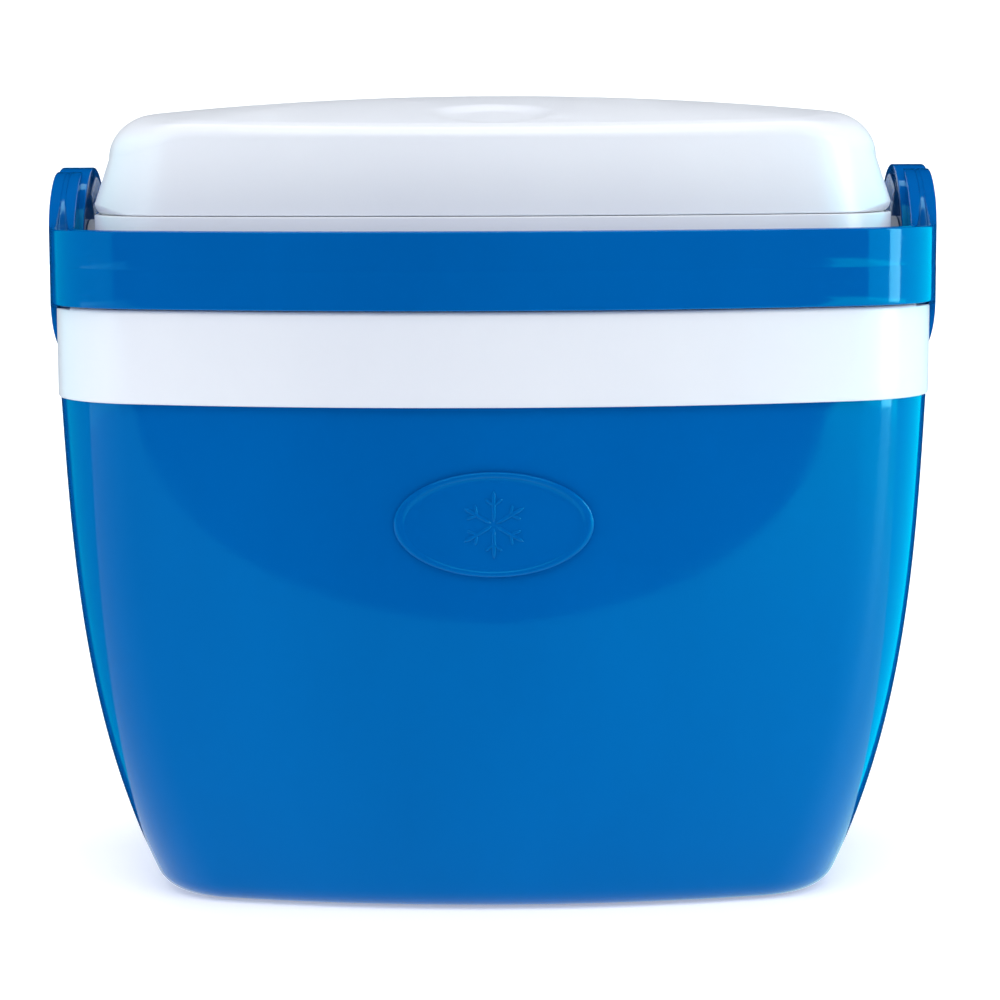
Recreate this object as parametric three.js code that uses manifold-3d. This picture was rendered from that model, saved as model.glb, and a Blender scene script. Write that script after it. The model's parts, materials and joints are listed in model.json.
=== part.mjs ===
// Cooler chest: a tapered blue tub with foam walls, a pale collar, a lift-off lid and a bail handle.
// Millimetres, +Z up, the front faces -Y, and the outlines are symmetric left to right.
import * as THREE from 'three';
import { mergeVertices } from 'three/addons/utils/BufferGeometryUtils.js';
import Module from 'manifold-3d';

const wasm = await Module();
wasm.setup();

// ---- driving dimensions -------------------------------------------------------------------
const GAP = 0.3;              // clearance kept between neighbouring pieces
const WALL = 2.6;             // moulded plastic wall

const FRONT_BOW_R = 530;      // the front and back faces are shallow arcs of this radius
const SIDE_BOW_R = 700;       // and the two ends are shallower still

const BODY_TOP_Z = 244;       // where the blue body meets the collar
const BODY_TOP_A = 212;       // half width there
const BODY_TOP_B = 154;       // half depth there
const BODY_CORNER_R = 58;
const BODY_DRAFT_A = 12;      // straight part of the taper, over the body's height
const BODY_CURVE_A = 34;      // extra pull-in towards the base, growing with the cube of depth
const BODY_DRAFT_B = 10;
const BODY_CURVE_B = 26;
const BASE_FILLET = 16;
const TUCK = 8;               // how far the body's top edge runs up inside the collar

const COLLAR_A = 214;
const COLLAR_B = 157;
const COLLAR_CORNER_R = 60;
const COLLAR_EDGE = 2;        // bevel between the collar's face and its ledge
const COLLAR_EXTRA = 1;       // the collar's face is this much thicker than the other walls
const SOCKET_ROOM = 2;        // the collar's socket is this much deeper than the body's tucked edge
const LEDGE_Z = 288;          // the step that the handle lies on
const NECK_A = 197;
const NECK_B = 135;
const NECK_CORNER_R = 52;
const RIM_Z = 330;            // top of the neck

const LINER_TOP_A = 176;      // inside of the liner's mouth
const LINER_TOP_B = 114;
const LINER_CORNER_R = 36;
const LINER_FLOOR_Z = 26;
const LINER_FLOOR_A = 152;
const LINER_FLOOR_B = 97;
const LINER_FLOOR_FILLET = 14;

const LID_Z = 331;            // lower edge of the lid
const LID_A = 194.5;
const LID_B = 133.5;
const LID_CORNER_R = 56;
const LID_SIDE_TOP_Z = 356.5;   // where the side starts to round over
const LID_TAPER = 7.2;
const LID_EDGE_R = 14;
const LID_CROWN_Z = 8.1;      // rise of the dome from its edge to its centre
const LID_ARCH_Z = 8;         // extra rise of the ends' middle over the front and back edges
const LID_LIP_R = 5;
const PLUG_Z = 305;           // underside of the plug that drops into the liner
const PLUG_PLAY = 3;          // the plug stands clear of the liner's mouth by this much

const HANDLE_A = 216;         // outer face of the handle band
const HANDLE_B = 159;
const HANDLE_CORNER_R = 61;
const BAND_T = 12;
const BAND_H = 34;
const BAND_SKIN = 2.8;        // walls either side of the channels in the band's two edges
const BAND_WEB = 9;           // solid middle between the two channels
const PIVOT_Z = LEDGE_Z + 1 + BAND_H / 2;
const HUB_R = 46;
const HUB_INNER_X = 203;      // inner face of the hub
const HUB_RIM_X = 200.2;      // its raised inner rim
const HUB_RIM_W = 5;
const HUB_EDGE_X = 215.6;     // where the hub's outer bevel starts
const HUB_OUTER_X = 218.2;    // crown of the hub's outer face
const FLARE_Y = 92;           // the band starts to widen this far in front of the pivot
const FLARE_IN_Y = 20;        // and has blended into the hub here
const FLARE_H = 40;           // half height there
const POCKET_PLAY = 1.5;      // clearance round the hub in the collar's pocket
const POCKET_X = 198.6;       // floor of that pocket

const PIN_R = 7.5;
const PIN_PLAY = 0.4;
const PIN_HEAD_R = 14;
const PIN_HEAD_X = [211, 213.6];
const PIN_INNER_X = 184;
const BUSH_R = 12;
const BUSH_FLANGE_R = 17;
const BUSH_X = [188.5, 198.4];
const BUSH_FLANGE_T = 3;
const WASHER_R = 20;
const WASHER_X = [198.7, 202.6];
const CLIP_R = 12.5;
const CLIP_X = [185.5, 188];
const CLIP_CLEAR_R = 19;      // hollow left in the foam round the pivot's inner end
const CAP_R = 17;
const CAP_X = [214, 218.5];

const BADGE_Z = 190;          // centre of the plain oval plaque on the front
const BADGE_HALF = [46, 24.5];
const BADGE_STAND = 1.9;

// Half of the difference between the handle's reach in front and the collar's behind, which
// centres the whole part's box on the origin.
const SHIFT_Y = (HANDLE_B - COLLAR_B) / 2;

const SIDES = [1, -1];                  // the right end and the left end
const BEYOND_X = HUB_OUTER_X + 10;      // clear of everything at either end, for cutting

// ---- outlines and lofts -------------------------------------------------------------------
const ARC_STEPS = { front: 3, corner: 6, side: 3 };

// Points of an arc from angle t0 to t1, without its last point.
function arc(cx, cy, r, t0, t1, steps) {
  return Array.from({ length: steps }, (_, i) => {
    const t = t0 + ((t1 - t0) * i) / steps;
    return [cx + r * Math.cos(t), cy + r * Math.sin(t)];
  });
}

// A closed plan outline, counterclockwise: bowed front, back and ends joined by tangent corners.
// a and b are the half width and half depth, r the corner radius, and grow moves it all outwards.
function outline({ a, b, r }, grow = 0) {
  const [ha, hb, rc] = [a + grow, b + grow, Math.max(r + grow, 4)];
  const front = [0, -hb + FRONT_BOW_R];
  const side = [ha - SIDE_BOW_R, 0];
  const [rf, rs] = [FRONT_BOW_R - rc, SIDE_BOW_R - rc];
  const [dx, dy] = [side[0] - front[0], side[1] - front[1]];
  const d = Math.hypot(dx, dy);
  const along = (d * d + rf * rf - rs * rs) / (2 * d);
  const off = Math.sqrt(rf * rf - along * along);
  const c = [front[0] + (dx * along - dy * off) / d, front[1] + (dy * along + dx * off) / d];
  const t0 = Math.atan2(c[1] - front[1], c[0] - front[0]);
  const t1 = Math.atan2(c[1] - side[1], c[0] - side[0]);
  const quarter = [
    ...arc(...front, FRONT_BOW_R, -Math.PI / 2, t0, ARC_STEPS.front),
    ...arc(...c, rc, t0, t1, ARC_STEPS.corner),
    ...arc(...side, SIDE_BOW_R, t1, 0, ARC_STEPS.side),
    [ha, 0],
  ];
  const half = [...quarter, ...quarter.slice(0, -1).reverse().map(([x, y]) => [x, -y])];
  return [...half, ...half.slice(1, -1).reverse().map(([x, y]) => [-x, y])];
}

// One ring of a loft: an outline at height z, optionally arched up towards the middle of the ends.
function ring(plan, z, grow = 0, arch = 0) {
  return outline(plan, grow).map(([x, y]) => [x, y, z + arch * (1 - (y / plan.b) ** 2)]);
}

function meshGeometry(points, faces) {
  const geometry = new THREE.BufferGeometry();
  geometry.setAttribute('position', new THREE.Float32BufferAttribute(points.flat(), 3));
  geometry.setIndex(faces.flat());
  return geometry;
}

// Skins a list of rings. closed joins the last ring to the first (a hoop); otherwise both ends
// are closed with a fan about their middle. Each four-sided patch is split the same way whether
// the rings rise or fall, so that nested walls stay parallel.
function loft(rings, closed) {
  const n = rings[0].length;
  const points = rings.flat();
  const faces = [];
  const spans = closed ? rings.length : rings.length - 1;
  for (let k = 0; k < spans; k += 1) {
    const next = (k + 1) % rings.length;
    const [lo, hi] = [k * n, next * n];
    const rising = rings[next][0][2] >= rings[k][0][2];
    for (let i = 0; i < n; i += 1) {
      const j = (i + 1) % n;
      if (rising) {
        faces.push([lo + i, lo + j, hi + j], [lo + i, hi + j, hi + i]);
      } else {
        faces.push([lo + i, lo + j, hi + i], [lo + j, hi + j, hi + i]);
      }
    }
  }
  if (!closed) {
    for (const [k, flip] of [[0, true], [rings.length - 1, false]]) {
      const middle = rings[k].reduce((s, p) => s.map((v, i) => v + p[i] / n), [0, 0, 0]);
      const hub = points.push(middle) - 1;
      for (let i = 0; i < n; i += 1) {
        const [p, q] = [k * n + i, k * n + ((i + 1) % n)];
        faces.push(flip ? [hub, q, p] : [hub, p, q]);
      }
    }
  }
  return meshGeometry(points, faces);
}

// ---- solids -------------------------------------------------------------------------------
function solid(geometry) {
  const bare = new THREE.BufferGeometry();
  bare.setAttribute('position', geometry.getAttribute('position'));
  bare.setIndex(geometry.getIndex());
  const merged = mergeVertices(bare, 1e-4);
  return new wasm.Manifold(new wasm.Mesh({
    numProp: 3,
    vertProperties: new Float32Array(merged.getAttribute('position').array),
    triVerts: new Uint32Array(merged.getIndex().array),
  }));
}

function toGeometry(manifold) {
  const mesh = manifold.getMesh();
  const geometry = new THREE.BufferGeometry();
  geometry.setAttribute('position', new THREE.BufferAttribute(mesh.vertProperties, 3));
  geometry.setIndex(new THREE.BufferAttribute(mesh.triVerts, 1));
  return geometry;
}

const loftSolid = (rings, closed = false) => solid(loft(rings, closed));

// Turns a closed profile of [radius, x] points about the pivot's axis. side is 1 for the right
// end of the chest and -1 for the left.
function turned(profile, side, segments = 24) {
  const loop = [...profile, profile[0]].map(([r, x]) => new THREE.Vector2(r, x));
  const geometry = new THREE.LatheGeometry(loop, segments);
  geometry.rotateZ(-Math.PI / 2);
  if (side < 0) geometry.rotateZ(Math.PI);
  geometry.translate(0, 0, PIVOT_Z);
  const made = solid(geometry);
  return made.volume() < 0 ? solid(flipped(geometry)) : made;
}

function flipped(geometry) {
  const index = Array.from(geometry.getIndex().array);
  for (let i = 0; i < index.length; i += 3) {
    [index[i], index[i + 1]] = [index[i + 1], index[i]];
  }
  geometry.setIndex(index);
  return geometry;
}

// A side view [y, z] outline, z measured from the pivot, drawn out between two x values.
function prismX(points, x0, x1) {
  const shape = new THREE.Shape(points.map(([y, z]) => new THREE.Vector2(y, z)));
  const geometry = new THREE.ExtrudeGeometry(shape, { depth: x1 - x0, bevelEnabled: false });
  geometry.applyMatrix4(new THREE.Matrix4().set(
    0, 0, 1, x0,
    1, 0, 0, 0,
    0, 1, 0, PIVOT_Z,
    0, 0, 0, 1,
  ));
  return solid(geometry);
}

// ---- body ---------------------------------------------------------------------------------
function bodyPlan(z) {
  const t = (BODY_TOP_Z - z) / BODY_TOP_Z;
  const pull = (draft, curve) => draft * t + curve * Math.max(t, 0) ** 3;
  return {
    a: BODY_TOP_A - pull(BODY_DRAFT_A, BODY_CURVE_A),
    b: BODY_TOP_B - pull(BODY_DRAFT_B, BODY_CURVE_B),
    r: BODY_CORNER_R - 10 * t,
  };
}

const BODY_LEVELS = [50, 90, 135, 185, BODY_TOP_Z];
const WALL_LEAN = 22;         // degrees that the wall leans in where it meets the base fillet

// Rings of the body's outside from the base up to top, moved outwards by grow.
function bodyRings(grow, top) {
  const lean = THREE.MathUtils.degToRad(WALL_LEAN);
  const tangent = bodyPlan(BASE_FILLET * (1 - Math.sin(lean)));
  const fillet = [90, 67, 44, WALL_LEAN].map((deg) => {
    const t = THREE.MathUtils.degToRad(deg);
    const inset = BASE_FILLET * (Math.cos(lean) - Math.cos(t));
    return ring(tangent, BASE_FILLET * (1 - Math.sin(t)) - grow, grow - inset);
  });
  const walls = BODY_LEVELS.map((z) => ring(bodyPlan(z), z, grow));
  return [...fillet, ...walls, ring(bodyPlan(BODY_TOP_Z), top, grow)];
}

function outerShell() {
  const top = BODY_TOP_Z + TUCK;
  return loftSolid([...bodyRings(0, top), ...bodyRings(-WALL, top).reverse()]);
}

const LINER_TOP = { a: LINER_TOP_A, b: LINER_TOP_B, r: LINER_CORNER_R };
const LINER_FLOOR = { a: LINER_FLOOR_A, b: LINER_FLOOR_B, r: LINER_CORNER_R };

// The liner's inside at height z.
function linerPlan(z) {
  const t = (RIM_Z - z) / (RIM_Z - LINER_FLOOR_Z);
  const mix = (key) => LINER_TOP[key] + (LINER_FLOOR[key] - LINER_TOP[key]) * t;
  return { a: mix('a'), b: mix('b'), r: mix('r') };
}

// Rings of the liner's inside from the top down to its floor, moved outwards by grow.
function linerRings(grow, top) {
  const fillet = [0, 30, 60, 90].map((deg) => {
    const t = THREE.MathUtils.degToRad(deg);
    const z = LINER_FLOOR_Z + LINER_FLOOR_FILLET * (1 - Math.sin(t));
    const inset = LINER_FLOOR_FILLET * (1 - Math.cos(t));
    return ring(linerPlan(LINER_FLOOR_Z + LINER_FLOOR_FILLET), z - grow, grow - inset);
  });
  return [ring(linerPlan(top), top, grow), ring(linerPlan(180), 180, grow), ...fillet];
}

const NECK = { a: NECK_A, b: NECK_B, r: NECK_CORNER_R };
const COLLAR = { a: COLLAR_A, b: COLLAR_B, r: COLLAR_CORNER_R };

// The liner folds over at its rim and comes down outside as the neck, to stand on the ledge.
function innerLiner() {
  const under = RIM_Z - WALL;
  let made = loftSolid([
    ...linerRings(WALL, under).reverse(),
    ring(NECK, under, -WALL),
    ring(NECK, LEDGE_Z + GAP, -WALL),
    ring(NECK, LEDGE_Z + GAP, 0),
    ring(NECK, RIM_Z - 1.2, 0),
    ring(NECK, RIM_Z, -1.6),
    ...linerRings(0, RIM_Z),
  ]);
  for (const side of SIDES) {
    made = made.subtract(disc(BUSH_R + GAP, PIN_INNER_X, BEYOND_X, side));
  }
  return made;
}

// ---- handle outline in side view ----------------------------------------------------------
// Half height of the band at y, grown by play: level along the arm, then an S-curve into the hub.
function armHalfHeight(y) {
  const t = THREE.MathUtils.clamp((FLARE_Y - Math.abs(y)) / (FLARE_Y - FLARE_IN_Y), 0, 1);
  return BAND_H / 2 + (FLARE_H - BAND_H / 2) * t * t * (3 - 2 * t);
}

const FLARE_STEPS = 9;

// The band's side view from reach to the pivot, as a closed outline.
function armProfile(reach, play, ends) {
  const stations = [reach];
  for (let i = 0; i <= FLARE_STEPS; i += 1) {
    stations.push(-FLARE_Y + ((FLARE_Y - FLARE_IN_Y) * i) / FLARE_STEPS);
  }
  const front = stations.map((y) => [y, armHalfHeight(y) + play]);
  const upper = ends === 2 ? [...front, ...front.map(([y, h]) => [-y, h]).reverse()]
    : [...front, [0, FLARE_H + play]];
  return [...upper.map(([y, h]) => [y, -h]), ...upper.reverse()];
}

function disc(r, x0, x1, side) {
  return turned([[0, x0], [r, x0], [r, x1], [0, x1]], side);
}

// The room that a hub needs at rest and folded back, grown by play and drawn out from x0.
function hubRoom(play, x0, x1, side) {
  const [lo, hi] = side > 0 ? [x0, x1] : [-x1, -x0];
  return prismX(armProfile(-FLARE_Y - play, play, 2), lo, hi)
    .add(disc(HUB_R + play, x0, x1, side));
}

// ---- collar -------------------------------------------------------------------------------
function collar() {
  const socket = bodyPlan(BODY_TOP_Z);
  const skin = loftSolid([
    ring(socket, BODY_TOP_Z, GAP),
    ring(COLLAR, BODY_TOP_Z, -COLLAR_EXTRA),
    ring(COLLAR, BODY_TOP_Z + COLLAR_EXTRA, 0),
    ring(COLLAR, LEDGE_Z - COLLAR_EDGE, 0),
    ring(COLLAR, LEDGE_Z, -COLLAR_EDGE),
    ring(NECK, LEDGE_Z, -WALL),
    ring(NECK, LEDGE_Z - WALL, -WALL),
    ring(COLLAR, LEDGE_Z - WALL, -WALL - COLLAR_EXTRA),
    ring(COLLAR, BODY_TOP_Z + TUCK + SOCKET_ROOM, -WALL - COLLAR_EXTRA),
    ring(socket, BODY_TOP_Z + TUCK + SOCKET_ROOM, GAP),
  ], true);
  const envelope = loftSolid([
    ring(NECK, BODY_TOP_Z + TUCK + GAP, -WALL),
    ring(COLLAR, BODY_TOP_Z + TUCK + GAP, -COLLAR_EXTRA),
    ring(COLLAR, LEDGE_Z - COLLAR_EDGE, -COLLAR_EXTRA),
    ring(NECK, LEDGE_Z - COLLAR_EDGE, -WALL),
  ], true);
  let made = skin;
  for (const side of SIDES) {
    made = made
      .add(hubRoom(POCKET_PLAY + WALL, POCKET_X - WALL, COLLAR_A, side).intersect(envelope));
  }
  for (const side of SIDES) {
    made = made.subtract(hubRoom(POCKET_PLAY, POCKET_X, BEYOND_X, side));
  }
  return made;
}

// Foam between the shell, the collar and the liner, hollowed round the pockets and pivots.
function bodyFoam() {
  const step = BODY_TOP_Z + TUCK + SOCKET_ROOM + GAP;
  let made = loftSolid([
    ...bodyRings(-WALL - GAP, step),
    ring(COLLAR, step, -WALL - COLLAR_EXTRA - GAP),
    ring(COLLAR, LEDGE_Z - WALL - GAP, -WALL - COLLAR_EXTRA - GAP),
    ring(NECK, LEDGE_Z - WALL - GAP, -WALL - GAP),
    ring(NECK, RIM_Z - WALL - GAP, -WALL - GAP),
    ...linerRings(WALL + GAP, RIM_Z - WALL - GAP),
  ]);
  for (const side of SIDES) {
    made = made
      .subtract(hubRoom(POCKET_PLAY + WALL + GAP, POCKET_X - WALL - GAP, BEYOND_X, side))
      .subtract(disc(CLIP_CLEAR_R, PIN_INNER_X - 1, BEYOND_X, side));
  }
  return made;
}

// ---- badge --------------------------------------------------------------------------------
// A plain oval plaque that follows the curve of the front wall.
function frontBadge() {
  const [w, h] = BADGE_HALF;
  const steps = 40;
  const oval = Array.from({ length: steps }, (_, i) => {
    const t = (2 * Math.PI * i) / steps;
    return new THREE.Vector2(w * Math.cos(t), h * Math.sin(t));
  });
  const block = new THREE.ExtrudeGeometry(new THREE.Shape(oval), { depth: 40, bevelEnabled: false });
  block.rotateX(Math.PI / 2);
  block.translate(0, -BODY_TOP_B + 30, BADGE_Z);
  const zone = [BADGE_Z - h - 4, BADGE_Z, BADGE_Z + h + 4];
  const layer = (grow) => loftSolid(zone.map((z) => ring(bodyPlan(z), z, grow)));
  const front = solid(block);
  const tall = [zone[0] - 1, ...zone, zone[2] + 1];
  const wall = loftSolid(tall.map((z) => ring(bodyPlan(z), z, GAP)));
  return front.intersect(layer(BADGE_STAND)).subtract(wall);
}

// ---- handle -------------------------------------------------------------------------------
const HANDLE = { a: HANDLE_A, b: HANDLE_B, r: HANDLE_CORNER_R };

// A strip of plan that follows the band between two offsets, from behind one pivot round the
// front to the other, drawn out in z. endY is where the strip stops on each side.
function strip(outerGrow, innerGrow, z0, z1, endY) {
  const face = (grow) => outline(HANDLE, grow)
    .filter(([, y]) => y < endY)
    .sort((p, q) => Math.atan2(p[0], -p[1]) - Math.atan2(q[0], -q[1]));
  const end = (grow, s) => [s * (HANDLE_A + grow - (endY * endY) / (2 * SIDE_BOW_R)), endY];
  const path = (grow) => [end(grow, -1), ...face(grow), end(grow, 1)];
  const shape = new THREE.Shape(
    [...path(outerGrow), ...path(innerGrow).reverse()].map(([x, y]) => new THREE.Vector2(x, y)),
  );
  const geometry = new THREE.ExtrudeGeometry(shape, { depth: z1 - z0, bevelEnabled: false });
  geometry.translate(0, 0, PIVOT_Z + z0);
  return solid(geometry);
}

function hub(side) {
  const bore = PIN_R + PIN_PLAY;
  const socket = CAP_R + GAP;
  return turned([
    [bore, HUB_INNER_X],
    [HUB_R - HUB_RIM_W, HUB_INNER_X],
    [HUB_R - HUB_RIM_W, HUB_RIM_X],
    [HUB_R - 1.5, HUB_RIM_X],
    [HUB_R, HUB_RIM_X + 1.5],
    [HUB_R, HUB_EDGE_X],
    [HUB_R - 0.4, HUB_EDGE_X + 0.8],
    [HUB_R - 1.5, HUB_EDGE_X + 1.3],
    [HUB_R - 16, HUB_OUTER_X - 0.6],
    [socket, HUB_OUTER_X],
    [socket, PIN_HEAD_X[0] - GAP],
    [bore, PIN_HEAD_X[0] - GAP],
  ], side, 40);
}

function handle() {
  const half = BAND_H / 2;
  const sideView = prismX(armProfile(-HANDLE_B - 5, 0, 1), -BEYOND_X, BEYOND_X);
  const channelEnd = -HUB_R + 2;
  let made = strip(0, -BAND_T, -FLARE_H, FLARE_H, -1).intersect(sideView);
  for (const side of SIDES) {
    made = made.subtract(disc(HUB_R - 2, HUB_INNER_X - 12, BEYOND_X, side)).add(hub(side));
  }
  const slot = (z0, z1) => strip(-BAND_SKIN, BAND_SKIN - BAND_T, z0, z1, channelEnd);
  const keepOut = SIDES.map((side) => disc(HUB_R + 1, HUB_RIM_X - 12, BEYOND_X, side));
  for (const channel of [slot(BAND_WEB / 2, FLARE_H + 2), slot(-FLARE_H - 2, -BAND_WEB / 2)]) {
    const cut = keepOut.reduce((left, hubZone) => left.subtract(hubZone), channel);
    made = made.subtract(cut);
  }
  return made;
}

// ---- pivots -------------------------------------------------------------------------------
function pivotPin(side) {
  return turned([
    [0, PIN_INNER_X],
    [PIN_R - 1, PIN_INNER_X],
    [PIN_R, PIN_INNER_X + 1],
    [PIN_R, PIN_HEAD_X[0]],
    [PIN_HEAD_R, PIN_HEAD_X[0]],
    [PIN_HEAD_R, PIN_HEAD_X[1] - 1],
    [PIN_HEAD_R - 1, PIN_HEAD_X[1]],
    [0, PIN_HEAD_X[1]],
  ], side);
}

function collarOf(inner, outer, [x0, x1], side) {
  return turned([[inner, x0], [outer, x0], [outer, x1], [inner, x1]], side);
}

function pivotBush(side) {
  const bore = PIN_R + PIN_PLAY;
  const flangeEnd = NECK_A - WALL - GAP;
  return turned([
    [bore, BUSH_X[0]],
    [BUSH_R, BUSH_X[0]],
    [BUSH_R, flangeEnd - BUSH_FLANGE_T],
    [BUSH_FLANGE_R, flangeEnd - BUSH_FLANGE_T],
    [BUSH_FLANGE_R, flangeEnd],
    [BUSH_R, flangeEnd],
    [BUSH_R, BUSH_X[1]],
    [bore, BUSH_X[1]],
  ], side);
}

function hubCap(side) {
  return turned([
    [0, CAP_X[0]],
    [CAP_R, CAP_X[0]],
    [CAP_R, CAP_X[1] - 1.6],
    [CAP_R - 1.2, CAP_X[1] - 0.4],
    [CAP_R - 5, CAP_X[1]],
    [0, CAP_X[1]],
  ], side);
}

// ---- lid ----------------------------------------------------------------------------------
const LID = { a: LID_A, b: LID_B, r: LID_CORNER_R };

// Rings of the lid's outside from its lower edge to the dome, moved outwards by grow.
function lidRings(grow, bottom, lip) {
  const lower = lip
    ? [[0, LID_LIP_R], [0.25, 1.6], [1, 0]].map(([t, inset]) => (
      ring(LID, bottom + LID_LIP_R * t, grow - inset)))
    : [ring(LID, bottom, grow - (LID_TAPER * (bottom - LID_Z)) / (LID_SIDE_TOP_Z - LID_Z))];
  const shoulder = [0, 30, 60, 84].map((deg) => {
    const t = THREE.MathUtils.degToRad(deg);
    const inset = LID_TAPER + LID_EDGE_R * (1 - Math.cos(t));
    const z = LID_SIDE_TOP_Z + LID_EDGE_R * Math.sin(t);
    return ring(LID, z + grow * Math.sin(t), grow - inset, LID_ARCH_Z * Math.sin(t));
  });
  const edge = outline(LID, grow - LID_TAPER - LID_EDGE_R);
  const base = LID_SIDE_TOP_Z + LID_EDGE_R + grow;
  const dome = [0.88, 0.7, 0.5, 0.26].map((s) => edge.map(([x, y]) => {
    const arch = LID_ARCH_Z * (1 - ((y * s) / LID_B) ** 2);
    return [x * s, y * s, base + arch + LID_CROWN_Z * (1 - s * s)];
  }));
  return [...lower, ...shoulder, ...dome];
}

function lidShell() {
  return loftSolid([
    ...lidRings(-WALL, LID_Z, false).reverse(),
    ...lidRings(0, LID_Z, true).slice(1),
  ]);
}

const PANEL_Z = LID_Z + 1.3;      // underside of the panel's flange
const PLUG = { a: LINER_TOP_A - PLUG_PLAY, b: LINER_TOP_B - PLUG_PLAY, r: LINER_CORNER_R };
const PLUG_FILLET = 6;
const PLUG_TAPER = 3;

// Rings of the plug's outside from its underside up to the flange, moved outwards by grow.
function plugRings(grow, top) {
  return [
    ring(PLUG, PLUG_Z - grow, grow - PLUG_TAPER - PLUG_FILLET),
    ring(PLUG, PLUG_Z + PLUG_FILLET * 0.3 - grow, grow - PLUG_TAPER - PLUG_FILLET * 0.3),
    ring(PLUG, PLUG_Z + PLUG_FILLET, grow - PLUG_TAPER),
    ring(PLUG, top, grow),
  ];
}

function lidPanel() {
  const flange = -WALL - GAP - LID_LIP_R;
  return loftSolid([
    ...plugRings(0, PANEL_Z),
    ring(LID, PANEL_Z, flange),
    ring(LID, PANEL_Z + WALL, flange),
    ...plugRings(-WALL, PANEL_Z + WALL).reverse(),
  ]);
}

function lidFoam() {
  const fill = -WALL - GAP;
  const outside = lidRings(fill, PANEL_Z + WALL + GAP, false);
  return loftSolid([...plugRings(fill, PANEL_Z + WALL + GAP), ...outside]);
}

function lidGasket() {
  const [z0, z1] = [RIM_Z + GAP, PANEL_Z - GAP];
  const width = 9;
  return loftSolid([
    ring(PLUG, z0, PLUG_PLAY + 2 * WALL),
    ring(PLUG, z0, PLUG_PLAY + 2 * WALL + width - 4),
    ring(PLUG, z1, PLUG_PLAY + 2 * WALL + width - 4),
    ring(PLUG, z1, PLUG_PLAY + 2 * WALL),
  ], true);
}

// ---- materials and assembly ---------------------------------------------------------------
const COLOURS = {
  blue_plastic: 0x0a62ae,
  pale_plastic: 0xe4e9ee,
  liner_plastic: 0xeef0f0,
  foam: 0xe9dfb4,
  gasket_rubber: 0x9aa0a4,
  pin_plastic: 0xc9cdd0,
  steel: 0xa8adb2,
};

const chest = new THREE.Group();
chest.name = 'cooler_chest';

function addPiece(name, colour, manifold) {
  const material = new THREE.MeshStandardMaterial({ color: COLOURS[colour], roughness: 0.4 });
  const mesh = new THREE.Mesh(toGeometry(manifold.translate([0, SHIFT_Y, 0])), material);
  mesh.name = name;
  chest.add(mesh);
}

addPiece('outer_shell', 'blue_plastic', outerShell());
addPiece('body_foam', 'foam', bodyFoam());
addPiece('inner_liner', 'liner_plastic', innerLiner());
addPiece('collar', 'pale_plastic', collar());
addPiece('front_badge', 'blue_plastic', frontBadge());
addPiece('handle', 'blue_plastic', handle());
for (const [word, side] of [['right', 1], ['left', -1]]) {
  addPiece(`pivot_pin_${word}`, 'steel', pivotPin(side));
  addPiece(`pivot_bush_${word}`, 'pin_plastic', pivotBush(side));
  addPiece(`pivot_washer_${word}`, 'pin_plastic', collarOf(PIN_R + PIN_PLAY, WASHER_R, WASHER_X, side));
  addPiece(`pin_clip_${word}`, 'steel', collarOf(PIN_R + GAP, CLIP_R, CLIP_X, side));
  addPiece(`hub_cap_${word}`, 'blue_plastic', hubCap(side));
}
addPiece('lid_shell', 'pale_plastic', lidShell());
addPiece('lid_foam', 'foam', lidFoam());
addPiece('lid_panel', 'liner_plastic', lidPanel());
addPiece('lid_gasket', 'gasket_rubber', lidGasket());

export default chest;
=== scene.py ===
"""Looks of a cooler chest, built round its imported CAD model.

The chest's own lengths are in millimetres, and mesh_object turns them into metres. The camera and
the stage are in metres.
"""

import json
import math

import bpy
import numpy as np
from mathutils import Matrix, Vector

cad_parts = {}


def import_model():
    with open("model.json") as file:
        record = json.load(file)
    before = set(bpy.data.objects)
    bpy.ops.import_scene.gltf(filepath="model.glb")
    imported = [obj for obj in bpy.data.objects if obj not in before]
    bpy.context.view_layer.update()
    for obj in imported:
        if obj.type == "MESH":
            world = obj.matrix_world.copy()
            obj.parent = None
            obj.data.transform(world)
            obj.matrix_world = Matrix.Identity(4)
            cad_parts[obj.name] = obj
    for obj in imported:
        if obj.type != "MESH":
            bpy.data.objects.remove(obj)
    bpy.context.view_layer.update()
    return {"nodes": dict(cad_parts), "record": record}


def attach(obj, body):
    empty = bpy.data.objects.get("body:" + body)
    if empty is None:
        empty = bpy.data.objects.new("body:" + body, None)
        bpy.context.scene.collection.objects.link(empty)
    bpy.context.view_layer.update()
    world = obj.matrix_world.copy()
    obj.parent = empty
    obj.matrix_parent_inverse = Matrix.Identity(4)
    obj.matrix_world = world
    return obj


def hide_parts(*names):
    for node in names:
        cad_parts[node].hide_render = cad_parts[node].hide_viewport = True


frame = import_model()

MM = 0.001
SHIFT_Y = 1.0  # the whole part sits this far back, so that its box is centred

FRONT_BOW_R = 530.0
SIDE_BOW_R = 700.0
WALL = 2.6
GAP = 0.3
BEVEL = 0.6  # the small bevel that takes the sharpness off a moulded edge
BEVEL_BULGE = 0.17  # how far the middle of a rounded bevel lies from both faces

BODY_TOP_Z = 244.0
BODY_TOP = (212.0, 154.0, 58.0)
BASE_FILLET = 16.0
FOOT_INSET = 29.0  # the standing ring's inner edge lies this far in from the wall
UNDERSIDE = ((2.4, 4.0), (2.0, 2.2), (0.4, 0.8), (0.0, 0.0))  # height, and distance in from there
TUCK = 8.0  # the tub's rim stands this far up inside the collar

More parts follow.
